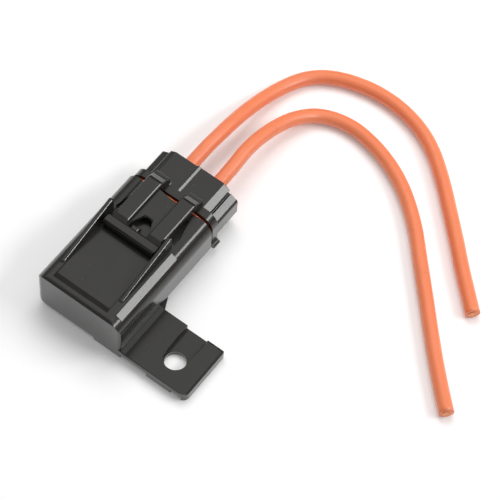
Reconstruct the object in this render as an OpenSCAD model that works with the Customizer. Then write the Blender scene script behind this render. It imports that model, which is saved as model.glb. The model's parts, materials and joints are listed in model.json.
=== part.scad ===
// Sealed inline holder for one regular blade fuse, with a pull-off cover and two leads.
// The origin is the centre of the mounting hole, on the surface that the tab is fixed to.
// +X runs along the holder to the leads and +Z points up, away from that surface.

/* [Cover] */
// Length of the cover from its closed end to its rim
cover_l = 40; // [39.6:0.1:40.4]
// Width of the cover
cover_w = 28.6; // [28:0.1:30]
// Height of the cover from its underside to its top
cover_h = 14.8; // [14.4:0.1:15.6]
// Height of the cover's underside above the mounting surface
cover_lift = 1.2; // [0.8:0.1:1.6]
// Wall thickness of the cover
cover_wall = 1.6; // [1.4:0.05:1.7]
// Radius of the cover's two long upper edges
cover_top_r = 4.6; // [3.5:0.1:5]
// Radius of the cover's two long lower edges
cover_low_r = 3.8; // [3:0.1:4.4]
// Radius of the closed end's upright corner away from the tab
cover_corner_r = 2; // [1.6:0.1:3]
// Radius of the closed end's upright corner above the tab
tab_corner_r = 1.2; // [0.8:0.1:1.6]
// Radius of the edge between the closed end and the top
cover_end_r = 1.4; // [1:0.1:2]
// Depth of the shallow tray in the cover's top
tray_depth = 0.4; // [0.2:0.05:0.6]

/* [Guard walls and catch] */
// Thickness of the guard walls beside the thumb bar
guard_t = 1.1; // [0.8:0.1:1.4]
// Height of the guard walls above the cover's top at their tall end
guard_rise = 5.2; // [4:0.1:5.6]
// Distance from the closed end to the low end of the guard walls
guard_start = 6.5; // [5:0.5:9]
// Distance from the closed end to the tall end of the guard walls
guard_end = 28.2; // [27.8:0.1:28.6]
// Gap between the guard walls and the ends of the thumb bar
guard_gap = 0.7; // [0.5:0.05:0.8]
// Width of the flat rib on the tab side's shoulder
rib_w = 2.2; // [1.6:0.1:2.4]
// Length of the flat rib
rib_l = 23.8; // [20:0.1:28]
// Tilt of the flat rib away from the top, in degrees
rib_tilt = 31; // [26:1:34]
// Width of the catch that the latch hooks over
catch_w = 2.3; // [1.6:0.1:2.4]
// Length of the catch's flat top
catch_l = 1.5; // [1:0.1:1.6]
// Height of the catch above the tray
catch_h = 1.7; // [1.4:0.1:1.9]
// Width of the slots beside the latch arm at their wide end
slot_w = 2.2; // [1.4:0.1:2.4]
// Length of the slots beside the latch arm
slot_l = 8.6; // [6:0.1:9.5]

/* [Mounting tab] */
// Width of the tab along the holder
tab_w = 17.7; // [16.5:0.1:20]
// Reach of the tab from the cover's side to its far edge
tab_reach = 21.7; // [20:0.1:26]
// Height of the tab's top above the mounting surface
tab_top = 3.4; // [3:0.1:4]
// Thickness of the tab's plate
tab_t = 1.9; // [1.5:0.1:2.2]
// Diameter of the mounting hole
hole_d = 6; // [5:0.1:6.2]
// Distance from the closed end to the hole's centre
hole_from_end = 7.6; // [6.5:0.1:9]
// Distance from the cover's centre line to the hole's centre
hole_from_axis = 27; // [25:0.1:28.5]
// Width of the sunk strip round the hole
strip_w = 6.8; // [6.6:0.1:7.2]
// Thickness of the sunk strip's floor
strip_t = 1.6; // [1.2:0.1:2]
// Width of the lip under the tab's far edge
lip_w = 1.5; // [1:0.1:2]
// Width and depth of the step along the tab's far edge
step_w = 0.5; // [0.3:0.1:0.8]
// Width of the tab's sloping root beside the cover
root_l = 1.4; // [1:0.1:3]
// Rise of the tab's sloping root up to the cover's side
root_rise = 0.4; // [0.2:0.05:0.8]
// Length of the gusset between the tab's root and the cover's side
gusset_l = 3.8; // [3:0.1:7]

/* [Holder] */
// Thickness of the collar
collar_t = 2.4; // [2:0.1:2.8]
// Width of the collar
collar_w = 27.4; // [26.6:0.1:28.6]
// Distance from the cover's top down to the collar's top
collar_drop = 0.5; // [0.3:0.1:0.8]
// Radius of the collar's upper corners
collar_r = 4.4; // [3.5:0.1:5]
// Gap between the cover's rim and the collar
rim_gap = 1.2; // [1.1:0.1:1.6]
// Length of the rear housing behind the collar
rear_l = 9.9; // [9.4:0.1:11]
// Width of the rear housing's lower part
rear_w = 26.2; // [25.4:0.1:27]
// Height of the rear housing's lower part above the mounting surface
rear_h = 10.9; // [10.4:0.1:11.2]
// Height of the rear housing's underside above the mounting surface
rear_lift = 1.8; // [1.4:0.1:2.6]
// Width of the crowned upper part of the rear housing
crown_w = 20.2; // [19.4:0.1:21]
// Width of each slanted flank of the crown
flank_w = 1.8; // [1.4:0.1:2.2]
// Height of each slanted flank of the crown
flank_h = 1.08; // [0.8:0.02:1.3]
// Height of the crown's top above the mounting surface
crown_h = 14.8; // [14.4:0.1:15.2]
// Height of the leads' centre lines above the mounting surface
lead_z = 8.6; // [8.3:0.1:8.9]
// Width of the inner tower
tower_w = 23.2; // [22.8:0.1:23.4]
// Height of the inner tower
tower_h = 9.2; // [9:0.1:9.4]
// Depth of the cup round the fuse's head
cup_depth = 6; // [4:0.5:7.5]

/* [Latch arm] */
// Offset of the latch arm from the centre line
latch_y = 0.1; // [0:0.1:0.3]
// Offset of the thumb bar and its guard walls from the centre line
bar_y = 0.8; // [0.5:0.1:1]
// Distance from the closed end to the thumb bar
bar_x = 22.2; // [21.8:0.1:22.6]
// Length of the thumb bar along the holder
bar_l = 2.9; // [2.4:0.1:3]
// Width of the thumb bar
bar_w = 17.2; // [16.8:0.1:17.6]
// Gap between the latch arm and the cover's tray
arm_gap = 0.4; // [0.3:0.05:0.6]
// Height of the rails from their underside to their top
rail_h = 3.2; // [2.8:0.1:3.6]
// Distance between the two rails
rail_gap = 6.7; // [6.3:0.1:7]
// Width of each rail
rail_w = 4.6; // [4.2:0.1:4.7]
// Distance from the rails' top down to the web's top
web_drop = 1.2; // [0.8:0.1:1.4]
// Thickness of the web
web_t = 1.1; // [1:0.1:1.4]
// Radius of the rounded roots that the arm flexes about
root_r = 0.9; // [0.7:0.05:0.95]
// Length of the opening between the web and the collar
web_opening_l = 2.1; // [1.5:0.1:3]

/* [Fuse and terminals] */
// Width of the fuse's case
fuse_w = 19.1; // [18.8:0.1:19.3]
// Thickness of the fuse's case
fuse_t = 5.1; // [4.9:0.1:5.2]
// Length of the fuse's case from its shoulder to its top
fuse_head = 12; // [11:0.5:12.5]
// Distance between the centres of the fuse's blades
blade_pitch = 9.66; // [9.6:0.02:9.72]
// Width of each blade
blade_w = 5.2; // [5:0.1:5.3]
// Thickness of each blade
blade_t = 0.65; // [0.6:0.01:0.7]
// Length of each blade past the shoulder
blade_l = 6.5; // [6:0.1:7]
// Distance from the closed end to the fuse's shoulder
shoulder_x = 17; // [16.5:0.1:17.5]
// Width of each terminal chamber
chamber_w = 7; // [6.8:0.1:7.4]
// Height of each terminal chamber
chamber_h = 5.6; // [5.5:0.1:6]
// Sheet thickness of the terminals
sheet_t = 0.4; // [0.35:0.05:0.5]
// Diameter of the bores that take the cable seals
seal_bore_d = 8.4; // [8:0.1:8.6]
// Length of each cable seal
cable_seal_l = 7.4; // [6.5:0.1:7.6]

/* [Leads] */
// Outer diameter of the leads
lead_d = 4.2; // [3.8:0.1:4.2]
// Diameter of the leads' stranded conductor
conductor_d = 2.5; // [2:0.1:2.7]

/* [Clearances] */
// Clearance between pieces that slide past each other
slide_gap = 0.3; // [0.25:0.05:0.35]
// Clearance round pieces that are pushed into a seat
seat_gap = 0.1; // [0.05:0.01:0.15]
// Clearance of the seal's ribs to the cover's inner wall
rib_gap = 0.12; // [0.08:0.01:0.2]
// Clearance round the latch arm's roots
root_gap = 0.08; // [0.05:0.01:0.1]

/* [Hidden] */
$fn = 48;
cut = 1;

// The case frame starts at the closed end, on the centre line.
case_x = -hole_from_end;
case_y = hole_from_axis;

cover_top = cover_lift + cover_h;
tray_z = cover_top - tray_depth;
cavity_w = cover_w - 2 * cover_wall;
cavity_low = cover_lift + cover_wall;
cavity_top = cover_top - cover_wall;
cavity_top_r = cover_top_r - cover_wall;
cavity_low_r = cover_low_r - cover_wall;
guard_in = bar_w / 2 + guard_gap;
catch_x = bar_x + bar_l + 2 * seat_gap;
slot_start = 0.8;
slot_x = guard_end + slot_start;

tab_y0 = -cover_w / 2;
tab_y1 = tab_y0 - tab_reach;
strip_y = -hole_from_axis;
tab_low = tab_top - tab_t;

collar_h = cover_top - collar_drop;
collar_x = cover_l + rim_gap;
rear_x = collar_x + collar_t;
rear_end = rear_x + rear_l;
tower_low = lead_z - tower_h / 2;
tower_top = lead_z + tower_h / 2;
tower_r = 2;
shelf_rise = 1;
cup_x = shoulder_x - cup_depth;
cup_w = fuse_w + 2 * slide_gap;
cup_t = fuse_t + 2 * slide_gap;
floor_t = 1;
chamber_x = shoulder_x + floor_t;
cable_inset = 0.4;
bore_x = rear_end - cable_seal_l - 2 * cable_inset;
lead_x = rear_end - cable_inset;

rail_in = rail_gap / 2;
rail_out = rail_in + rail_w;
window_edge = 0.35;
window_wide = rail_gap - 2 * window_edge;
rail_low = tray_z + arm_gap;
rail_top = rail_low + rail_h;
web_top = rail_top - web_drop;
root_x = collar_x + collar_t / 2;
root_z = rail_low + root_r;
sides = [-1, 1];

terminal_x = chamber_x + seat_gap;
box_l = 12;
neck_l = 2.4;
core_crimp_l = 5;
crimp_gap = 1;
core_x = terminal_x + box_l + neck_l;
grip_x = core_x + core_crimp_l + crimp_gap;
grip_l = 3.6;
tail_start = 0.4;
tail_x = grip_x - tail_start;
joint_in = 0.5;

// The leads run straight out of their seals, come down to the table and lie on it.
route_1 = [
  [lead_x + case_x, case_y + blade_pitch / 2, lead_z],
  [51, case_y + blade_pitch / 2, lead_z], [56, 31.8, 8.6], [61, 31.6, 8.4], [66.5, 31.5, 7.6],
  [73, 31.4, 6], [80.5, 30.7, 4.2], [88, 29.2, 2.6], [94, 26.6, 2.15],
  [98.2, 23, 2.12], [101, 18.6, 2.12], [103, 13.2, 2.12], [104.2, 6.6, 2.12],
  [104, -1, 2.12], [102, -9, 2.12], [98, -16.6, 2.12], [91.6, -24.4, 2.12],
  [84.2, -32, 2.12], [77.4, -38.8, 2.12], [71.2, -44.8, 2.12], [65.8, -50.3, 2.12],
  [61, -55.2, 2.12]
];
route_2 = [
  [lead_x + case_x, case_y - blade_pitch / 2, lead_z],
  [51, case_y - blade_pitch / 2, lead_z], [56, 22.3, 8.6], [61, 22.6, 8.4], [67, 22.5, 7.5],
  [73.8, 21.7, 5.9], [80.4, 19.9, 4.2], [86, 16.4, 2.7], [89, 11.4, 2.15],
  [90, 5.3, 2.12], [89.3, -0.8, 2.12], [87.6, -6.8, 2.12], [84.6, -13.4, 2.12],
  [80.2, -20, 2.12], [73.8, -27.2, 2.12], [66.2, -34.1, 2.12], [58.6, -41, 2.12],
  [51, -47.8, 2.12], [43.8, -54.4, 2.12], [37.6, -60.4, 2.12], [31.8, -66.3, 2.12]
];

// Extrudes a profile drawn in Y and Z along +X.
module along_x(x0, length) {
  translate([x0, 0, 0]) rotate([90, 0, 90]) linear_extrude(length) children();
}

// Extrudes a profile drawn in X and Z along +Y.
module along_y(y0, width) {
  translate([0, y0 + width, 0]) rotate([90, 0, 0]) linear_extrude(width) children();
}

// Rectangle standing on Z, with its own radii at the bottom and at the top.
module round_profile(w, z0, z1, r_low, r_top) {
  middle = (z0 + r_low + z1 - r_top) / 2;
  translate([-w / 2, z0 + r_low]) square([w, z1 - r_top - z0 - r_low]);
  translate([-w / 2 + r_low, z0]) square([w - 2 * r_low, middle - z0]);
  translate([-w / 2 + r_top, middle]) square([w - 2 * r_top, z1 - middle]);
  for (s = sides) {
    translate([s * (w / 2 - r_low), z0 + r_low]) circle(r_low);
    translate([s * (w / 2 - r_top), z1 - r_top]) circle(r_top);
  }
}

// Pieces are drawn in the case frame and moved to the part's frame here.
module in_case() {
  translate([case_x, case_y, 0]) children();
}

module cover_shape() {
  intersection() {
    along_x(0, cover_l) round_profile(cover_w, cover_lift, cover_top, cover_low_r, cover_top_r);
    linear_extrude(cover_top + cut) cover_plan();
    along_y(-cover_w / 2 - cut, cover_w + 2 * cut) cover_side();
  }
}

module cover_plan() {
  half = cover_w / 2;
  translate([cover_corner_r, -half]) square([cover_l - cover_corner_r, cover_w]);
  translate([0, -half + tab_corner_r]) square([cover_l, cover_w - tab_corner_r - cover_corner_r]);
  translate([tab_corner_r, -half]) square([cover_corner_r, half]);
  translate([cover_corner_r, half - cover_corner_r]) circle(cover_corner_r);
  translate([tab_corner_r, -half + tab_corner_r]) circle(tab_corner_r);
}

// The end face keeps a crisp edge, because it cuts the rounding a little inside its tangent.
module cover_side() {
  end_inset = 0.15;
  intersection() {
    square([cover_l, cover_top]);
    translate([-end_inset, 0]) {
      translate([cover_end_r, 0]) square([cover_l, cover_top]);
      square([cover_end_r, cover_top - cover_end_r]);
      translate([cover_end_r, cover_top - cover_end_r]) circle(cover_end_r);
    }
  }
}

// A shallow tray between the shoulders keeps the latch arm low and drains to the rim.
module tray_cut() {
  tray_start = 1.9;
  tray_slope = 1.7;
  tray_half = guard_in - slide_gap;
  along_y(bar_y - tray_half, 2 * tray_half) polygon([
    [tray_start, cover_top],
    [tray_start + tray_slope, tray_z],
    [cover_l + cut, tray_z],
    [cover_l + cut, cover_top + cut],
    [tray_start, cover_top + cut]
  ]);
}

module slot_cuts() {
  slot_depth = cover_wall / 2;
  slot_tip = 0.3;
  for (s = sides) translate([0, latch_y, tray_z - slot_depth]) mirror([0, (1 - s) / 2, 0]) {
    linear_extrude(slot_depth + cut) polygon([
      [slot_x, rail_out],
      [slot_x, rail_out + slot_w],
      [slot_x + slot_l, rail_out + slot_tip],
      [slot_x + slot_l, rail_out]
    ]);
  }
}

// Guard walls keep the thumb bar from being pressed by accident.
module guard_wall(y0) {
  foot = cover_top - cover_wall / 2;
  nose = 0.6;
  along_y(y0, guard_t) polygon([
    [guard_start, foot],
    [guard_start, cover_top],
    [guard_start + nose, cover_top + nose / 2],
    [guard_end - nose, cover_top + guard_rise],
    [guard_end, cover_top + guard_rise - nose],
    [guard_end + nose / 2, foot]
  ]);
}

// The thumb bar hooks behind the catch, and its ramp lifts the arm as the cover is pushed on.
module catch_nib() {
  ramp = 0.8;
  ramp_end = arm_gap / 2;
  foot = tray_z - cover_wall / 2;
  along_y(latch_y + window_wide / 2 - 2 * slide_gap - catch_w, catch_w) polygon([
    [catch_x, foot],
    [catch_x, tray_z + catch_h],
    [catch_x + catch_l, tray_z + catch_h],
    [catch_x + catch_l + ramp, tray_z + ramp_end],
    [catch_x + catch_l + ramp, foot]
  ]);
}

module tab_plan() {
  far_r = 2.2;
  tip_r = 0.8;
  translate([0, tab_y1 + far_r]) square([tab_w, tab_reach + cover_low_r - far_r]);
  translate([far_r, tab_y1]) square([tab_w - far_r - tip_r, far_r]);
  translate([far_r, tab_y1 + tip_r]) square([tab_w - far_r, far_r]);
  translate([far_r, tab_y1 + far_r]) circle(far_r);
  translate([tab_w - tip_r, tab_y1 + tip_r]) circle(tip_r);
}

// The tab's far part turns down at its +X end and has a small step along its far edge.
module tab_edge_cuts() {
  nose_l = 0.8;
  nose_h = 0.9;
  along_y(tab_y1 - cut, strip_y - strip_w / 2 - tab_y1 + cut) polygon([
    [tab_w - nose_l, tab_top],
    [tab_w - nose_l / 3, tab_top - nose_h / 3],
    [tab_w, tab_top - nose_h],
    [tab_w + cut, tab_top - nose_h],
    [tab_w + cut, tab_top + cut],
    [tab_w - nose_l, tab_top + cut]
  ]);
  translate([-cut, tab_y1 - cut, tab_top - step_w]) cube([tab_w + 2 * cut, step_w + cut, step_w + cut]);
}

// The strip round the hole is sunk to the mounting surface, so that the bolt's head lies low.
module mounting_tab() {
  strip_wall = 0.8;
  difference() {
    union() {
      translate([0, 0, tab_low]) linear_extrude(tab_t) tab_plan();
      linear_extrude(tab_low) intersection() {
        tab_plan();
        union() {
          translate([0, tab_y1]) square([tab_w, lip_w]);
          translate([tab_w - lip_w, tab_y1]) square([lip_w, strip_y - strip_w / 2 - tab_y1]);
        }
      }
      translate([0, strip_y - strip_w / 2 - strip_wall, 0]) cube([tab_w, strip_w + 2 * strip_wall, tab_top]);
      gusset();
      tab_root();
      root_pad();
    }
    tab_edge_cuts();
    translate([0, 0, strip_t]) linear_extrude(tab_top) {
      translate([hole_from_end, strip_y - strip_w / 2]) square([tab_w, strip_w]);
      translate([hole_from_end, strip_y]) circle(strip_w / 2);
    }
    translate([hole_from_end, strip_y, -cut]) cylinder(h = tab_top + 2 * cut, d = hole_d);
  }
}

// A web stiffens the corner between the tab's edge and the cover's side.
module gusset() {
  gusset_low = cover_lift + seat_gap;
  sunk = 0.4;
  translate([0, 0, gusset_low]) linear_extrude(tab_top - gusset_low) polygon([
    [tab_w - cut, tab_y0 + cover_low_r],
    [tab_w - cut, tab_y0 - root_l],
    [tab_w, tab_y0 - root_l],
    [tab_w + gusset_l, tab_y0 + sunk],
    [tab_w + gusset_l, tab_y0 + cover_low_r]
  ]);
}

// The tab's top slopes up a little where it meets the cover's side.
module tab_root() {
  along_x(0, tab_w) polygon([
    [tab_y0 - root_l, tab_top - tab_t / 2],
    [tab_y0 - root_l, tab_top],
    [tab_y0, tab_top + root_rise],
    [tab_y0 + cover_wall / 2, tab_top + root_rise],
    [tab_y0 + cover_wall / 2, tab_top - tab_t / 2]
  ]);
}

// The cover stands on a pad on its tab side, level with the sunk strip.
module root_pad() {
  pad_in = 9.4;
  translate([0, tab_y0, 0]) linear_extrude(tab_low + tab_t / 2) square([tab_w, pad_in]);
}

// A flat rib lies along the rounded shoulder on the tab side.
module shoulder_rib() {
  proud = 0.2;
  depth = 0.8;
  inward = 0.5;
  rib_x = 2.7;
  along_x(rib_x, rib_l) translate([-cover_w / 2 + cover_top_r, cover_top - cover_top_r]) {
    rotate(rib_tilt) translate([inward - rib_w / 2, cover_top_r - depth]) square([rib_w, depth + proud]);
  }
}

module cover() {
  color([0.09, 0.09, 0.095]) in_case() difference() {
    union() {
      difference() {
        cover_shape();
        tray_cut();
        slot_cuts();
      }
      guard_wall(bar_y - guard_in - guard_t);
      guard_wall(bar_y + guard_in);
      catch_nib();
      shoulder_rib();
      mounting_tab();
    }
    along_x(cover_wall, cover_l) round_profile(cavity_w, cavity_low, cavity_top, cavity_low_r, cavity_top_r);
  }
}

module tower() {
  along_x(cup_x, collar_x - cup_x + cut) round_profile(tower_w, tower_low, tower_top, tower_r, tower_r);
}

module tower_cuts() {
  slot_w_in = blade_w + 2 * slide_gap;
  slot_t_in = blade_t + 2 * slide_gap;
  along_x(cup_x - cut, cup_depth + cut) {
    translate([-cup_w / 2, lead_z - cup_t / 2]) square([cup_w, cup_t]);
  }
  for (s = sides) translate([0, s * blade_pitch / 2, lead_z]) {
    translate([shoulder_x - cut, -slot_w_in / 2, -slot_t_in / 2]) {
      cube([floor_t + 2 * cut, slot_w_in, slot_t_in]);
    }
    translate([chamber_x, -chamber_w / 2, -chamber_h / 2]) {
      cube([bore_x - chamber_x + cut, chamber_w, chamber_h]);
    }
    translate([bore_x, 0, 0]) rotate([0, 90, 0]) {
      cylinder(h = rear_l + cable_seal_l, d = seal_bore_d);
    }
  }
}

// Profile of the rear housing: a crown with slanted flanks over a wider body with slanted shelves.
module rear_profile() {
  low_r = 3.6;
  shoulder_r = 1.2;
  shelf_edge = 0.75;
  shelf_flat = 0.5;
  shelf_sunk = 0.1;
  shelf_out = rear_w / 2 - shelf_edge;
  shelf_top = rear_h + shelf_rise;
  crown_half = crown_w / 2;
  shelf_in = crown_half + shelf_flat;
  round_profile(rear_w, rear_lift, rear_h, low_r, shoulder_r);
  polygon([
    [-shelf_out, rear_h - shelf_sunk],
    [-shelf_in, shelf_top],
    [-crown_half, shelf_top],
    [-crown_half, crown_h - flank_h],
    [-crown_half + flank_w, crown_h],
    [crown_half - flank_w, crown_h],
    [crown_half, crown_h - flank_h],
    [crown_half, shelf_top],
    [shelf_in, shelf_top],
    [shelf_out, rear_h - shelf_sunk]
  ]);
}

module rear_housing() {
  groove_r = 0.42;
  rib_half = 0.4;
  rib_h = 0.5;
  difference() {
    along_x(rear_x - cut, rear_l + cut) rear_profile();
    for (s = sides) translate([rear_x + groove_r, s * (crown_w / 2 + groove_r / 2), rear_h + shelf_rise]) {
      rotate([0, 90, 0]) cylinder(h = rear_l, r = groove_r);
    }
  }
  along_x(root_x, rear_end - root_x) polygon([
    [-rib_half, crown_h - cut],
    [-rib_half, crown_h + rib_h / 2],
    [rib_half / 2, crown_h + rib_h],
    [rib_half, crown_h + rib_h],
    [rib_half, crown_h - cut]
  ]);
}

// Seats behind the arm's two roots, which hold them to the collar.
module root_seats() {
  front = root_r / 3;
  seat_top = root_z + 0.4 * root_r;
  for (s = sides) difference() {
    translate([root_x - front, latch_y + s * (rail_in + rail_w / 2) - rail_w / 2, collar_h - cut]) {
      cube([front + collar_t / 2 + root_r, rail_w, seat_top - collar_h + cut]);
    }
    translate([root_x, latch_y + s * (rail_in + rail_w / 2), root_z]) rotate([90, 0, 0]) {
      cylinder(h = rail_w + 2 * cut, r = root_r + root_gap, center = true);
    }
  }
}

module holder() {
  key_r = 1.1;
  color([0.09, 0.09, 0.095]) in_case() difference() {
    union() {
      along_x(collar_x, collar_t) round_profile(collar_w, 0, collar_h, cover_low_r, collar_r);
      rear_housing();
      root_seats();
      tower();
      translate([collar_x + collar_t / 2, -collar_w / 2, tab_top]) rotate([0, 90, 0]) {
        cylinder(h = collar_t - seat_gap, r = key_r, center = true);
      }
    }
    tower_cuts();
  }
}

module latch_rail() {
  bend = 1.6;
  heel = root_r * 0.7;
  rail_x = bar_x + bar_l - seat_gap;
  ramp = 1.3;
  ramp_h = 0.6;
  along_y(rail_in, rail_w) {
    polygon([
      [rail_x, rail_low],
      [root_x, rail_low],
      [root_x + heel, root_z + heel],
      [root_x - bend, rail_top],
      [rail_x + ramp, rail_top],
      [rail_x, rail_top - ramp_h]
    ]);
    translate([root_x, root_z]) circle(root_r);
  }
}

module thumb_bar() {
  slope = 0.5;
  sunk = 0.4;
  top = rail_top - sunk;
  along_y(bar_y - latch_y - bar_w / 2, bar_w) polygon([
    [bar_x, rail_low],
    [bar_x + bar_l, rail_low],
    [bar_x + bar_l, top - slope / 2],
    [bar_x + bar_l - slope, top],
    [bar_x + slope, top],
    [bar_x, top - slope]
  ]);
}

// The web joins the rails and has the window that the catch stands in.
module latch_web() {
  window_l = 5.4;
  window_narrow = 2.1;
  web_x0 = bar_x + bar_l - seat_gap;
  web_x1 = collar_x - web_opening_l;
  difference() {
    translate([web_x0, -rail_in - cut / 2, web_top - web_t]) {
      cube([web_x1 - web_x0, rail_gap + cut, web_t]);
    }
    translate([bar_x + bar_l, 0, web_top - web_t - cut]) linear_extrude(web_t + 2 * cut) polygon([
      [0, -window_wide / 2],
      [window_l / 3, -window_wide / 2],
      [window_l, -window_narrow / 2],
      [window_l, window_narrow / 2],
      [window_l / 3, window_wide / 2],
      [0, window_wide / 2]
    ]);
  }
}

module latch_arm() {
  color([0.1, 0.1, 0.105]) in_case() translate([0, latch_y, 0]) {
    latch_rail();
    mirror([0, 1, 0]) latch_rail();
    thumb_bar();
    latch_web();
  }
}

// Silicone ring round the tower's root, with ribs for the cover's wall and a lip at the collar.
module perimeter_seal() {
  sleeve_l = 6.4;
  sleeve_t = 0.45;
  sleeve_x = collar_x - rim_gap - sleeve_l;
  first_rib = 0.4;
  rib_l_x = 0.8;
  ribs = 3;
  lip_x = cover_l + 2 * seat_gap;
  lip_t = 0.4;
  lip_inset = 0.5;
  lip_side = 1.5;
  rib_w_y = cavity_w - 2 * rib_gap;
  color([0.85, 0.25, 0.12]) in_case() difference() {
    union() {
      along_x(sleeve_x, sleeve_l + rim_gap) round_profile(
        tower_w + 2 * sleeve_t, tower_low - sleeve_t, tower_top + sleeve_t,
        tower_r, tower_r
      );
      for (i = [0 : ribs - 1]) along_x(sleeve_x + first_rib + i * 2 * rib_l_x, rib_l_x) round_profile(
        rib_w_y, cavity_low + rib_gap, cavity_top - rib_gap,
        cavity_low_r, cavity_top_r
      );
      along_x(lip_x, lip_t) round_profile(
        cover_w - 2 * lip_side, cover_lift + lip_inset, tray_z - lip_inset,
        cover_low_r, cover_top_r
      );
    }
    along_x(0, 2 * cover_l) round_profile(tower_w, tower_low, tower_top, tower_r, tower_r);
  }
}

module fuse_case() {
  flange_l = 4.2;
  flange_r = 0.8;
  flange_side = 0.6;
  flange_face = 0.45;
  end_t = 2.6;
  mark_t = 0.8;
  body_w = fuse_w - 2 * flange_side;
  body_t = fuse_t - 2 * flange_face;
  top_x = shoulder_x - fuse_head;
  pocket_w = blade_pitch + blade_w + 2 * seat_gap;
  pocket_t = blade_t + 2 * seat_gap;
  probe_w = 2.2;
  color([0.18, 0.55, 0.3, 0.8]) in_case() translate([0, 0, lead_z]) difference() {
    union() {
      translate([top_x, -body_w / 2, -body_t / 2]) cube([fuse_head, body_w, body_t]);
      along_x(top_x, flange_l) round_profile(fuse_w, -fuse_t / 2, fuse_t / 2, flange_r, flange_r);
    }
    translate([top_x + end_t, -pocket_w / 2, -pocket_t / 2]) cube([fuse_head, pocket_w, pocket_t]);
    for (s = sides) translate([top_x - cut, s * blade_pitch / 2 - probe_w / 2, -pocket_t / 2]) {
      cube([fuse_head / 2, probe_w, pocket_t]);
    }
    for (s = sides) translate([top_x + flange_l / 2, 0, s * fuse_t / 2]) {
      cube([flange_l / 2, body_w / 2, mark_t], center = true);
    }
  }
}

module blade_plan() {
  end_in = 2.8;
  top_x = shoulder_x - fuse_head + end_in;
  tip = shoulder_x + blade_l;
  taper = 1.2;
  polygon([
    [top_x, -blade_w / 2],
    [tip - taper, -blade_w / 2],
    [tip, -blade_w / 2 + taper],
    [tip, blade_w / 2 - taper],
    [tip - taper, blade_w / 2],
    [top_x, blade_w / 2]
  ]);
}

// The element is one stamping: two blades and the thin bowed link between them.
module fuse_element() {
  link_w = 1.1;
  link_r = 3;
  link_x = shoulder_x - fuse_head / 2;
  arch_half = blade_pitch / 2 - blade_w / 2 + link_w / 2;
  color([0.72, 0.74, 0.76]) in_case() translate([0, 0, lead_z - blade_t / 2]) linear_extrude(blade_t) {
    for (s = sides) translate([0, s * blade_pitch / 2]) blade_plan();
    difference() {
      translate([link_x, 0]) circle(arch_half);
      translate([link_x, 0]) circle(arch_half - link_w);
      translate([link_x, -link_r]) square([link_r * 2, link_r * 2]);
    }
  }
}

// Female terminal: a box with rolled contact springs, a neck, and two crimps on the wire.
module terminal(s) {
  box_w = 6.4;
  roll_r = 0.95;
  roll_inset = sheet_t / 2;
  dip = sheet_t / 4;
  play = 0.02;
  floor_z = -blade_t / 2 - sheet_t - play;
  roof_z = blade_t / 2 + play;
  core_out = conductor_d / 2 + sheet_t;
  grip_out = lead_d / 2 + sheet_t;
  color([0.78, 0.66, 0.36]) in_case() translate([0, s * blade_pitch / 2, lead_z]) {
    along_x(terminal_x, box_l) {
      translate([-box_w / 2, floor_z]) square([box_w, sheet_t]);
      for (k = sides) translate([k * (box_w / 2 - roll_r - roll_inset), roof_z + roll_r]) difference() {
        circle(roll_r);
        circle(roll_r - sheet_t);
      }
      for (k = sides) translate([k * (box_w / 2 - sheet_t / 2), (floor_z + roof_z + roll_r) / 2]) {
        square([sheet_t, roof_z + roll_r - floor_z], center = true);
      }
    }
    translate([terminal_x + box_l, 0, 0]) along_y(-conductor_d / 2, conductor_d) polygon([
      [-joint_in, floor_z],
      [-joint_in, floor_z + sheet_t],
      [neck_l + joint_in, -conductor_d / 2 - dip],
      [neck_l + joint_in, -core_out - dip]
    ]);
    along_x(core_x, core_crimp_l) difference() {
      circle(core_out);
      circle(conductor_d / 2);
    }
    translate([core_x + core_crimp_l, 0, 0]) along_y(-conductor_d / 2, conductor_d) polygon([
      [-joint_in, -core_out - dip],
      [-joint_in, -conductor_d / 2 - dip],
      [crimp_gap + joint_in, -lead_d / 2 - dip],
      [crimp_gap + joint_in, -grip_out - dip]
    ]);
    along_x(grip_x, grip_l) difference() {
      circle(grip_out);
      circle(lead_d / 2);
    }
  }
}

module terminal_1() {
  terminal(1);
}

module terminal_2() {
  terminal(-1);
}

module cable_seal(s) {
  ribs = 3;
  waist = 0.7;
  pitch = cable_seal_l / ribs;
  bore_play = 0.02;
  out_r = seal_bore_d / 2 - bore_play;
  color([0.85, 0.25, 0.12]) in_case() translate([lead_x - cable_seal_l, s * blade_pitch / 2, lead_z]) {
    rotate([0, 90, 0]) difference() {
      union() {
        cylinder(h = cable_seal_l, r = out_r - waist);
        for (i = [0 : ribs - 1]) translate([0, 0, (i + 0.25) * pitch]) cylinder(h = pitch / 2, r = out_r);
      }
      translate([0, 0, -cut]) cylinder(h = cable_seal_l + 2 * cut, d = lead_d);
    }
  }
}

module cable_seal_1() {
  cable_seal(1);
}

module cable_seal_2() {
  cable_seal(-1);
}

module wire_tail(s) {
  color([0.95, 0.5, 0.3]) in_case() translate([tail_x, s * blade_pitch / 2, lead_z]) {
    rotate([0, 90, 0]) difference() {
      cylinder(h = lead_x - tail_x, d = lead_d);
      translate([0, 0, -cut]) cylinder(h = lead_x - tail_x + 2 * cut, d = conductor_d);
    }
  }
}

module wire_tail_1() {
  wire_tail(1);
}

module wire_tail_2() {
  wire_tail(-1);
}

module conductor(s) {
  overhang = 0.6;
  color([0.8, 0.45, 0.25]) in_case() translate([core_x - overhang, s * blade_pitch / 2, lead_z]) {
    rotate([0, 90, 0]) cylinder(h = lead_x - core_x + overhang, d = conductor_d);
  }
}

module conductor_1() {
  conductor(1);
}

module conductor_2() {
  conductor(-1);
}

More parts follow.
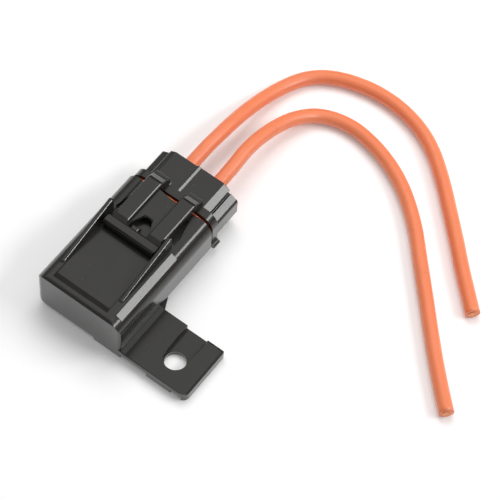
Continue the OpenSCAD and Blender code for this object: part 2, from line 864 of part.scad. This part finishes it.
// Sweeps a round tube along a route, with each ring square to the route at its point.
function unit(v) = v / norm(v);
function heading(p, i) = i == 0 ? unit(p[1] - p[0])
  : i == len(p) - 1 ? unit(p[i] - p[i - 1])
  : unit(unit(p[i] - p[i - 1]) + unit(p[i + 1] - p[i]));
function ring(centre, ahead, r, n) =
  let (side = unit(cross(ahead, [0, 0, 1])), top = cross(side, ahead))
  [for (k = [0 : n - 1]) centre + r * (cos(360 * k / n) * side + sin(360 * k / n) * top)];

module tube(route, r) {
  n = 12;
  rings = len(route);
  points = [for (i = [0 : rings - 1]) each ring(route[i], heading(route, i), r, n)];
  walls = [
    for (i = [0 : rings - 2]) for (k = [0 : n - 1])
      [i * n + k, i * n + (k + 1) % n, (i + 1) * n + (k + 1) % n, (i + 1) * n + k]
  ];
  first = [for (k = [0 : n - 1]) n - 1 - k];
  last = [for (k = [0 : n - 1]) (rings - 1) * n + k];
  polyhedron(points, concat(walls, [first, last]), convexity = 4);
}

module lead_1() {
  color([0.96, 0.5, 0.32]) tube(route_1, lead_d / 2);
}

module lead_2() {
  color([0.96, 0.5, 0.32]) tube(route_2, lead_d / 2);
}

cover();
holder();
latch_arm();
perimeter_seal();
fuse_case();
fuse_element();
terminal_1();
terminal_2();
cable_seal_1();
cable_seal_2();
wire_tail_1();
wire_tail_2();
conductor_1();
conductor_2();
lead_1();
lead_2();
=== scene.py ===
import bpy
import bmesh
import json
import math
from mathutils import Matrix, Vector


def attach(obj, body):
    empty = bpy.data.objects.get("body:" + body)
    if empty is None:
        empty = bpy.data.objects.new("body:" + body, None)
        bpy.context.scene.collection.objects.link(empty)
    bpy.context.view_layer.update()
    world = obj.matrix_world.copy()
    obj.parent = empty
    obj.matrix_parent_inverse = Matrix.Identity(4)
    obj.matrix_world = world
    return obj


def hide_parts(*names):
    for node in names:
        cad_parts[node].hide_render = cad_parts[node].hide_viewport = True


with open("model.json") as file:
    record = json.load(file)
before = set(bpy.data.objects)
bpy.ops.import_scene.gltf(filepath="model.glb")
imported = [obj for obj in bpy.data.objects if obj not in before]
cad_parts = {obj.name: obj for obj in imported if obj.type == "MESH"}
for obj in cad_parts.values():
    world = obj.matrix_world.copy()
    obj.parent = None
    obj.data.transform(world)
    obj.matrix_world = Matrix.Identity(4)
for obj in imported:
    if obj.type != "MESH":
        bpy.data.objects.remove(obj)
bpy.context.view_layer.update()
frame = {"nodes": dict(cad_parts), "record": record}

mm = 0.001
tiny = 1e-4


# camera and leads come first, because the leads have to fit the view

viewSettings = dict(
    azimuth=-58.70,        # degrees, as the photo was taken
    elevation=60.27,
    roll=-6.07,
    distance=0.600,
    target=(0.04069, 0.00523, 0.0),
    lens=156.456,          # on a 36 mm sensor, square picture
    sensor=36.0,
)


def addCamera(s):
    az, el, roll = (math.radians(s[k]) for k in ("azimuth", "elevation", "roll"))
    back = Vector((math.sin(az) * math.cos(el), -math.cos(az) * math.cos(el), math.sin(el)))
    level = Vector((math.cos(az), math.sin(az), 0.0))
    up = back.cross(level)
    right = math.cos(roll) * level - math.sin(roll) * up
    top = math.sin(roll) * level + math.cos(roll) * up
    turn = Matrix((right, top, back)).transposed().to_4x4()
    place = Matrix.Translation(Vector(s["target"]) + s["distance"] * back)
    data = bpy.data.cameras.new("photoCamera")
    data.lens = s["lens"]
    data.sensor_width = s["sensor"]
    data.clip_start = 0.01
    data.clip_end = 20.0
    cam = bpy.data.objects.new("photoCamera", data)
    bpy.context.collection.objects.link(cam)
    cam.matrix_world = place @ turn
    bpy.context.scene.camera = cam


addCamera(viewSettings)
print("camera set")

leadSettings = dict(
    diameter=4.2,          # millimetres, as all lengths here unless said
    conductor=2.5,
    sides=20,
    steps=6,               # rings between two points of the route
    cutBack=0.3,           # the jacket stops short of the strands' ends
    strand=0.25,           # radius of one copper strand
    strandSides=10,
    strandLength=1.0,
    strandEdge=0.05,
    uneven=0.06,           # how far the strands' ends lie in and out
    twist=0.2,             # radians from one ring of strands to the next
)
routeOne = [
    (45.7, 31.83, 8.6), (51, 31.83, 8.6), (56, 31.8, 8.6), (61, 31.6, 8.4), (66.5, 31.5, 7.6),
    (73, 31.4, 6), (80.5, 30.7, 4.2), (88, 29.2, 2.6), (94, 26.6, 2.15),
    (98.2, 23, 2.12), (101, 18.6, 2.12), (103, 13.2, 2.12), (104.2, 6.6, 2.12),
    (104, -1, 2.12), (102, -9, 2.12), (98, -16.6, 2.12), (91.6, -24.4, 2.12),
    (84.2, -32, 2.12), (77.4, -38.8, 2.12), (71.2, -44.8, 2.12), (65.8, -50.3, 2.12),
    (61, -55.2, 2.12),
]
routeTwo = [
    (45.7, 22.17, 8.6), (51, 22.17, 8.6), (56, 22.3, 8.6), (61, 22.6, 8.4), (67, 22.5, 7.5),
    (73.8, 21.7, 5.9), (80.4, 19.9, 4.2), (86, 16.4, 2.7), (89, 11.4, 2.15),
    (90, 5.3, 2.12), (89.3, -0.8, 2.12), (87.6, -6.8, 2.12), (84.6, -13.4, 2.12),
    (80.2, -20, 2.12), (73.8, -27.2, 2.12), (66.2, -34.1, 2.12), (58.6, -41, 2.12),
    (51, -47.8, 2.12), (43.8, -54.4, 2.12), (37.6, -60.4, 2.12), (31.8, -66.3, 2.12),
]


def smoothPath(points, steps):
    # a curve through every point of the route, in metres
    pts = [Vector(p) * mm for p in points]
    pts = [2 * pts[0] - pts[1]] + pts + [2 * pts[-1] - pts[-2]]
    path = []
    for i in range(1, len(pts) - 2):
        a, b, c, d = pts[i - 1:i + 3]
        for k in range(steps):
            t = k / steps
            path.append(0.5 * (2 * b + (c - a) * t + (2 * a - 5 * b + 4 * c - d) * t * t
                               + (3 * b - a - 3 * c + d) * t * t * t))
    path.append(pts[-2])
    return path


def pathLength(path):
    return sum((b - a).length for a, b in zip(path, path[1:]))


def ringFrame(path, i):
    ahead = (path[min(i + 1, len(path) - 1)] - path[max(i - 1, 0)]).normalized()
    side = ahead.cross(Vector((0, 0, 1))).normalized()
    return ahead, side, side.cross(ahead)


def addLead(name, route, s):
    path = smoothPath(route, s["steps"])
    ahead = ringFrame(path, len(path) - 1)[0]
    path[-1] = path[-1] - ahead * s["cutBack"] * mm
    r, n = s["diameter"] / 2 * mm, s["sides"]
    bm = bmesh.new()
    uv = bm.loops.layers.uv.new("along")
    rings, run, runs = [], 0.0, []
    for i, p in enumerate(path):
        side, top = ringFrame(path, i)[1:]
        run += (p - path[i - 1]).length if i else 0.0
        runs.append(run)
        angles = [2 * math.pi * k / n for k in range(n)]
        outward = [math.cos(a) * side + math.sin(a) * top for a in angles]
        rings.append([bm.verts.new(p + r * direction) for direction in outward])
    for i in range(len(rings) - 1):
        for k in range(n):
            j = (k + 1) % n
            face = bm.faces.new((rings[i][k], rings[i][j], rings[i + 1][j], rings[i + 1][k]))
            face.smooth = True
            around = [k / n, (k + 1) / n, (k + 1) / n, k / n]
            along = [runs[i], runs[i], runs[i + 1], runs[i + 1]]
            for loop, u, v in zip(face.loops, around, along):
                loop[uv].uv = (u, v / (2 * math.pi * r))
    bm.faces.new(list(reversed(rings[0])))
    bm.faces.new(rings[-1])
    bmesh.ops.recalc_face_normals(bm, faces=bm.faces)
    mesh = bpy.data.meshes.new(name)
    bm.to_mesh(mesh)
    bm.free()
    obj = bpy.data.objects.new(name, mesh)
    bpy.context.collection.objects.link(obj)
    return obj, path


def deselectAll():
    for o in bpy.context.selected_objects:
        o.select_set(False)


def makeActive(obj):
    deselectAll()
    obj.select_set(True)
    bpy.context.view_layer.objects.active = obj


def joinAll(objs, name):
    deselectAll()
    for o in objs:
        o.select_set(True)
    bpy.context.view_layer.objects.active = objs[0]
    if len(objs) > 1:
        bpy.ops.object.join()
    objs[0].name = name
    objs[0].data.name = name
    return objs[0]


def bakePlace(obj):
    makeActive(obj)
    bpy.ops.object.transform_apply(location=True, rotation=True, scale=True)


def addStrands(name, path, s):
    # a bundle of strands in three rings round one, cut off square
    ahead, side, top = ringFrame(path, len(path) - 1)
    end = path[-1] + ahead * s["cutBack"] * mm
    r = s["strand"] * mm
    places = [(0.0, 0.0)]
    for turn, count in ((1, 6), (2, 12)):
        for k in range(count):
            a = 2 * math.pi * k / count + s["twist"] * turn
            places.append((2.0 * r * turn * math.cos(a), 2.0 * r * turn * math.sin(a)))
    made = []
    depth = s["strandLength"] * mm
    quat = ahead.to_track_quat("Z", "Y")
    for i, (u, v) in enumerate(places):
        proud = s["uneven"] * (math.sin(5.0 * i) - 1.0) * mm
        centre = end + side * u + top * v + ahead * (proud - depth / 2)
        deselectAll()
        bpy.ops.mesh.primitive_cylinder_add(vertices=s["strandSides"], radius=r, depth=depth,
                                            location=centre, rotation=quat.to_euler())
        strand = bpy.context.active_object
        bpy.ops.object.mode_set(mode="EDIT")
        bpy.ops.mesh.select_all(action="SELECT")
        bpy.ops.mesh.bevel(offset=s["strandEdge"] * mm, segments=1, affect="EDGES")
        bpy.ops.object.mode_set(mode="OBJECT")
        made.append(strand)
    bundle = joinAll(made, name)
    bakePlace(bundle)
    return bundle


leadOne, pathOne = addLead("jacketOne", routeOne, leadSettings)
leadTwo, pathTwo = addLead("jacketTwo", routeTwo, leadSettings)
strandsOne = addStrands("strandsOne", pathOne, leadSettings)
strandsTwo = addStrands("strandsTwo", pathTwo, leadSettings)
for lead, path, strands, node in ((leadOne, pathOne, strandsOne, "lead_1"),
                                  (leadTwo, pathTwo, strandsTwo, "lead_2")):
    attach(lead, "holder")
    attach(strands, "holder")
    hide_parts(node)
    pathLength(path)
    print("lead", node, round(pathLength(path) * 1000, 1), "mm")


# shader maths

class Value:
    def __init__(self, tree, socket):
        self.tree = tree
        self.socket = socket

    def maths(self, operation, other=None, swap=False):
        node = self.tree.nodes.new("ShaderNodeMath")
        node.operation = operation
        terms = [self] if other is None else [other, self] if swap else [self, other]
        for i, term in enumerate(terms):
            if isinstance(term, Value):
                self.tree.links.new(term.socket, node.inputs[i])
            else:
                node.inputs[i].default_value = term
        return Value(self.tree, node.outputs[0])

    def __add__(self, other): return self.maths("ADD", other)
    def __radd__(self, other): return self.maths("ADD", other)
    def __sub__(self, other): return self.maths("SUBTRACT", other)
    def __rsub__(self, other): return self.maths("SUBTRACT", other, True)
    def __mul__(self, other): return self.maths("MULTIPLY", other)
    def __rmul__(self, other): return self.maths("MULTIPLY", other)


class Finish:
    # one material, with its shader and the helpers that its pattern is written with
    def __init__(self, name, **constants):
        self.material = bpy.data.materials.new(name)
        self.material.use_nodes = True
        self.tree = self.material.node_tree
        self.shader = self.tree.nodes["Principled BSDF"]
        for key, value in constants.items():
            self.shader.inputs[key].default_value = value

    def node(self, kind, settings=None, out=0, **inputs):
        node = self.tree.nodes.new("ShaderNode" + kind)
        for key, value in (settings or {}).items():
            if key == "stops":
                ramp = node.color_ramp
                while len(ramp.elements) < len(value):
                    ramp.elements.new(0.5)
                for element, (place, shade) in zip(ramp.elements, value):
                    element.position = place
                    element.color = (shade, shade, shade, 1.0)
            else:
                setattr(node, key, value)
        for key, value in inputs.items():
            numbered = key[0] == "i" and key[1:].isdigit()
            socket = node.inputs[int(key[1:]) if numbered else key]
            if isinstance(value, Value):
                self.tree.links.new(value.socket, socket)
            else:
                socket.default_value = value
        return Value(self.tree, node.outputs[out])

    def place(self):
        return self.node("TexCoord", out=3)

    def uv(self, name):
        return self.node("UVMap", {"uv_map": name})

    def noise(self, scale, detail=3.0, rough=0.5, at=None):
        return self.node("TexNoise", Vector=at or self.place(), Scale=scale, Detail=detail,
                         Roughness=rough)

    def ramp(self, value, *stops):
        return self.node("ValToRGB", {"stops": stops}, i0=value)

    def blend(self, factor, a, b):
        node = self.tree.nodes.new("ShaderNodeMix")
        node.data_type = "RGBA"
        for i, value in ((0, factor), (6, a), (7, b)):
            if isinstance(value, Value):
                self.tree.links.new(value.socket, node.inputs[i])
            else:
                node.inputs[i].default_value = value if i == 0 else (*value, 1.0)
        return Value(self.tree, node.outputs[2])

    def stretched(self, at, scale):
        return self.node("Mapping", Vector=at, Scale=scale)

    def bump(self, height, strength, distance, under=None):
        node = self.tree.nodes.new("ShaderNodeBump")
        node.inputs["Strength"].default_value = strength
        node.inputs["Distance"].default_value = distance
        self.tree.links.new(height.socket, node.inputs["Height"])
        if under is not None:
            self.tree.links.new(under.socket, node.inputs["Normal"])
        return Value(self.tree, node.outputs[0])

    def feed(self, **links):
        for key, value in links.items():
            self.tree.links.new(value.socket, self.shader.inputs[key.replace("_", " ")])


def blackPlastic(name, grain):
    f = Finish(name, IOR=1.5)
    cloud = f.noise(90.0, 4.0, 0.55)
    smear = f.noise(1.0, 3.0, 0.6, f.stretched(f.place(), (60.0, 260.0, 160.0)))
    fine = f.noise(1500.0, 2.0, 0.5)
    specks = f.ramp(f.noise(900.0, 2.0, 0.6), (0.70, 0.0), (0.78, 1.0))
    base = f.blend(cloud, (0.0150, 0.0145, 0.0125), (0.0235, 0.0225, 0.0200))
    f.feed(Base_Color=f.blend(specks * 0.25, base, (0.10, 0.10, 0.095)))
    f.feed(Roughness=0.13 + cloud * 0.07 + smear * 0.07 + specks * 0.12)
    waves = f.bump(smear, 0.12, 0.00008)
    f.feed(Normal=f.bump(fine, grain, 0.00003, waves))
    return f.material


def silicone(name):
    f = Finish(name, IOR=1.43)
    cloud = f.noise(260.0, 3.0, 0.5)
    f.feed(Base_Color=f.blend(cloud, (0.62, 0.10, 0.03), (0.78, 0.17, 0.06)))
    f.feed(Roughness=0.42 + cloud * 0.16)
    f.feed(Normal=f.bump(f.noise(1900.0), 0.2, 0.00004))
    return f.material


def jacket(name):
    f = Finish(name, IOR=1.5)
    along = f.uv("along")
    streak = f.noise(1.0, 3.0, 0.55, f.stretched(along, (26.0, 0.7, 1.0)))
    cloud = f.noise(120.0, 3.0, 0.5)
    scuff = f.ramp(f.noise(420.0, 4.0, 0.65), (0.62, 0.0), (0.72, 1.0))
    base = f.blend(cloud, (0.86, 0.205, 0.075), (0.93, 0.245, 0.105))
    base = f.blend(streak * 0.25, base, (0.96, 0.36, 0.20))
    f.feed(Base_Color=f.blend(scuff * 0.22, base, (0.62, 0.17, 0.08)))
    f.feed(Roughness=0.36 + streak * 0.14 + scuff * 0.12)
    f.feed(Normal=f.bump(streak, 0.25, 0.00008, f.bump(f.noise(1500.0), 0.12, 0.00004)))
    return f.material


def metal(name, low, high, rough, lines=(1.0, 1.0, 1.0)):
    f = Finish(name, Metallic=1.0)
    brushed = f.noise(1.0, 4.0, 0.6, f.stretched(f.place(), tuple(900.0 * v for v in lines)))
    tarnish = f.ramp(f.noise(300.0, 3.0, 0.6), (0.45, 0.0), (0.75, 1.0))
    base = f.blend(brushed, low, high)
    f.feed(Base_Color=f.blend(tarnish * 0.35, base, tuple(0.55 * v for v in low)))
    f.feed(Roughness=rough + brushed * 0.14 + tarnish * 0.12)
    f.feed(Normal=f.bump(brushed, 0.2, 0.00004))
    return f.material


def fusePlastic(name):
    f = Finish(name, IOR=1.58, Alpha=0.82)
    cloud = f.noise(240.0, 3.0, 0.5)
    f.feed(Base_Color=f.blend(cloud, (0.05, 0.36, 0.12), (0.09, 0.46, 0.18)))
    f.feed(Roughness=0.18 + cloud * 0.12)
    f.feed(Normal=f.bump(f.noise(1400.0), 0.15, 0.00004))
    return f.material


finishes = {
    "cover_plastic": blackPlastic("coverPlastic", 0.05),
    "holder_plastic": blackPlastic("holderPlastic", 0.07),
    "seal_silicone": silicone("sealSilicone"),
    "fuse_case_plastic": fusePlastic("fuseCasePlastic"),
    "fuse_metal": metal("stampedZinc", (0.52, 0.54, 0.56), (0.68, 0.69, 0.70), 0.30,
                        (1.0, 0.12, 1.0)),
    "terminal_brass": metal("tinnedBrass", (0.55, 0.46, 0.30), (0.70, 0.62, 0.46), 0.28,
                            (0.12, 1.0, 1.0)),
    "copper_strand": metal("copperStrand", (0.62, 0.26, 0.12), (0.82, 0.42, 0.24), 0.30),
    "lead_insulation": jacket("leadJacket"),
}


def dress(obj, slot):
    obj.data.materials.clear()
    obj.data.materials.append(finishes[slot])


slotOf = {row["node"]: row["material_slot"] for row in frame["record"]["subparts"]}
for nodeName, nodeObject in frame["nodes"].items():
    dress(nodeObject, slotOf[nodeName])
for piece, slot in ((leadOne, "lead_insulation"), (leadTwo, "lead_insulation"),
                    (strandsOne, "copper_strand"), (strandsTwo, "copper_strand")):
    dress(piece, slot)
for node in ("wire_tail_1", "wire_tail_2"):
    if not frame["nodes"][node].data.uv_layers:
        frame["nodes"][node].data.uv_layers.new(name="along")
print("materials made")


# moulded pieces get the small edge radius that the mould leaves, which catches the light

edgeSettings = dict(
    width=0.28,
    segments=2,
    profile=0.367,         # two facets, at about 33 and 57 degrees
    sharp=30.0,            # edges under this angle are left alone
    room=0.8,              # the share of a neighbouring side that a bevel may take
    smooth=9.0,            # below this angle two faces shade as one
    weld=0.002,
    flat=0.6,              # degrees within which the CAD's triangles are one face
)
latchSettings = dict(
    edgeSettings,
    width=0.42,
)
ribSettings = dict(
    across=26.6,           # where the slanted side starts
    up=15.05,
    near=0.02,
    drop=0.12,             # makes its slope about 32 degrees
)
creaseSettings = dict(
    low=8.0,               # the tray's slope meets the top and the tray at 13 degrees
    high=20.0,
    above=15.4,            # height over the floor
    offset=0.22,
    segments=3,
    level=0.01,            # how far the crease's ends may differ along X
)


def softenCreases(obj, s):
    # rounds the shallow creases that run across the tray's slope
    makeActive(obj)
    bpy.ops.object.mode_set(mode="EDIT")
    bpy.ops.mesh.select_mode(type="EDGE")
    bpy.ops.mesh.select_all(action="DESELECT")
    bm = bmesh.from_edit_mesh(obj.data)
    for edge in bm.edges:
        a, b = edge.verts[0].co, edge.verts[1].co
        bend = math.degrees(edge.calc_face_angle(0.0))
        across = abs(a.x - b.x) < s["level"] * mm and (a - b).length > mm
        raised = min(a.z, b.z) > s["above"] * mm
        edge.select_set(across and raised and s["low"] < bend < s["high"])
    bmesh.update_edit_mesh(obj.data)
    bpy.ops.mesh.bevel(offset=s["offset"] * mm, segments=s["segments"], affect="EDGES")
    bpy.ops.object.mode_set(mode="OBJECT")


def steepenRib(obj, s):
    # the crown rib's slanted side is turned to meet the light
    for vert in obj.data.vertices:
        across, up = vert.co.y - s["across"] * mm, vert.co.z - s["up"] * mm
        if abs(across) < s["near"] * mm and abs(up) < s["near"] * mm:
            vert.co.z -= s["drop"] * mm


def cornerShare(loop):
    # how much of a side a bevel of width 1 takes at this corner of a face
    if not loop.is_convex:
        return 0.0
    return 1.0 / max(math.tan(loop.calc_angle() / 2), tiny)


def markEdges(obj, s):
    # marks the sharp edges whose neighbours leave room for the bevel
    work = bmesh.new()
    work.from_mesh(obj.data)
    layer = work.edges.layers.float.new("bevel_weight_edge")
    for edge in work.edges:
        if len(edge.link_faces) != 2 or edge.calc_face_angle(0.0) < math.radians(s["sharp"]):
            continue
        room = s["width"] * mm
        for loop in edge.link_loops:
            for side in (loop, loop.link_loop_prev, loop.link_loop_next):
                share = cornerShare(side) + cornerShare(side.link_loop_next)
                room = min(room, s["room"] * side.edge.calc_length() / max(share, tiny))
        if room >= s["width"] * mm:
            edge[layer] = 1.0
    work.to_mesh(obj.data)
    work.free()


def softened(node, name, body, s, first=None, firstSettings=None):
    source = frame["nodes"][node]
    obj = bpy.data.objects.new(name, source.data.copy())
    bpy.context.collection.objects.link(obj)
    makeActive(obj)
    bpy.ops.mesh.customdata_custom_splitnormals_clear()
    bpy.ops.object.mode_set(mode="EDIT")
    bpy.ops.mesh.select_all(action="SELECT")
    bpy.ops.mesh.remove_doubles(threshold=s["weld"] * mm)
    bpy.ops.mesh.dissolve_limited(angle_limit=math.radians(s["flat"]))
    bpy.ops.object.mode_set(mode="OBJECT")
    if first:
        first(obj, firstSettings)
    markEdges(obj, s)
    bevel = obj.modifiers.new("edge", "BEVEL")
    bevel.width = s["width"] * mm
    bevel.segments = s["segments"]
    bevel.limit_method = "WEIGHT"
    bevel.profile = s["profile"]
    bevel.use_clamp_overlap = False
    bpy.ops.object.modifier_apply(modifier="edge")
    bpy.ops.object.shade_smooth_by_angle(angle=math.radians(s["smooth"]))
    weigh = obj.modifiers.new("flats", "WEIGHTED_NORMAL")
    weigh.keep_sharp = True
    bpy.ops.object.modifier_apply(modifier="flats")
    dress(obj, slotOf[node])
    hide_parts(node)
    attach(obj, body)


softened("cover", "coverShell", "cover", edgeSettings, softenCreases, creaseSettings)
softened("holder", "holderBody", "holder", edgeSettings, steepenRib, ribSettings)
softened("latch_arm", "latchArm", "latch_arm", latchSettings)
print("moulded edges softened")


# floor, light and surroundings

studio = dict(
    floorSize=4.0,
    floorShade=0.92,
    floorPlace=(0.04, 0.0, -0.0001),
    aim=(0.03, 0.01, 0.0),
    cameraLift=0.12,       # seen by the camera alone, so that the floor reaches white
    glossLift=0.44,        # seen in reflections, where the floor stays white up to the part
    keyFrom=(0.410, -0.615, 0.673),
    lampDistance=0.80,
    keySize=(0.46, 0.16),  # along X and across it
    keyPower=2.45,
    rimFrom=(0.063, -0.757, 0.651),    # glints on the guard walls' sloping edges
    rimSize=(0.24, 0.20),
    rimPower=3.4,
    fillFrom=(0.42, 0.22, 0.88),
    fillSize=(0.50, 0.50),
    fillPower=2.35,
    boxFrom=(0.36, 0.24, 0.90),    # the large overhead softbox
    boxEdge=(0.66, 0.86),          # cosines at its outer and inner edge
    boxGlow=1.02,
    skyGlow=0.26,
    bandFrom=(0.86, 0.26, 0.44),   # the dark gap beside the softbox
    bandEdge=(0.86, 0.94),
    bandDepth=0.96,
)


def addFloor(s):
    deselectAll()
    bpy.ops.mesh.primitive_plane_add(size=s["floorSize"], location=s["floorPlace"])
    floor = bpy.context.active_object
    floor.name = "paleFloor"
    bpy.ops.object.transform_apply(location=True, rotation=True, scale=True)
    material = bpy.data.materials.new("paleFloor")
    material.use_nodes = True
    tree = material.node_tree
    shader = tree.nodes["Principled BSDF"]
    shader.inputs["Base Color"].default_value = (*[s["floorShade"]] * 3, 1.0)
    shader.inputs["Roughness"].default_value = 0.9
    shader.inputs["Specular IOR Level"].default_value = 0.0
    shader.inputs["Emission Color"].default_value = (1.0, 1.0, 1.0, 1.0)
    rays = tree.nodes.new("ShaderNodeLightPath")
    lift = Value(tree, rays.outputs["Is Camera Ray"]) * s["cameraLift"]
    lift = lift + Value(tree, rays.outputs["Is Glossy Ray"]) * s["glossLift"]
    tree.links.new(lift.socket, shader.inputs["Emission Strength"])
    floor.data.materials.append(material)


def addLamp(lamp, s, inDiffuse, inGloss):
    name = lamp + "Lamp"
    data = bpy.data.lights.new(name, "AREA")
    data.shape = "RECTANGLE"
    data.size, data.size_y = s[lamp + "Size"]
    data.energy = s[lamp + "Power"]
    light = bpy.data.objects.new(name, data)
    bpy.context.collection.objects.link(light)
    away = Vector(s[lamp + "From"]).normalized()
    light.location = Vector(s["aim"]) + away * s["lampDistance"]
    level = (Vector((1, 0, 0)) - away.x * away).normalized()
    light.rotation_euler = Matrix((level, away.cross(level), away)).transposed().to_euler()
    light.visible_diffuse = inDiffuse
    light.visible_glossy = inGloss


def addSky(s):
    world = bpy.data.worlds.new("studioSky")
    world.use_nodes = True
    bpy.context.scene.world = world
    tree = world.node_tree
    sky = tree.nodes["Background"]
    coords = tree.nodes.new("ShaderNodeTexCoord")

    def spot(direction, edge):
        dot = tree.nodes.new("ShaderNodeVectorMath")
        dot.operation = "DOT_PRODUCT"
        tree.links.new(coords.outputs["Generated"], dot.inputs[0])
        dot.inputs[1].default_value = Vector(direction).normalized()
        ease = tree.nodes.new("ShaderNodeMapRange")
        ease.interpolation_type = "SMOOTHSTEP"
        ease.inputs["From Min"].default_value = edge[0]
        ease.inputs["From Max"].default_value = edge[1]
        tree.links.new(dot.outputs["Value"], ease.inputs["Value"])
        return Value(tree, ease.outputs["Result"])

    glow = s["skyGlow"] + spot(s["boxFrom"], s["boxEdge"]) * (s["boxGlow"] - s["skyGlow"])
    glow = glow * (1.0 - spot(s["bandFrom"], s["bandEdge"]) * s["bandDepth"])
    camera = Value(tree, tree.nodes.new("ShaderNodeLightPath").outputs["Is Camera Ray"])
    strength = glow * (1.0 - camera) + camera
    tree.links.new(strength.socket, sky.inputs["Strength"])
    sky.inputs["Color"].default_value = (1.0, 1.0, 1.0, 1.0)


addFloor(studio)
addLamp("key", studio, inDiffuse=True, inGloss=True)
addLamp("rim", studio, inDiffuse=False, inGloss=True)
addLamp("fill", studio, inDiffuse=True, inGloss=False)
addSky(studio)
bpy.context.scene.view_settings.view_transform = "Standard"
print("studio set")
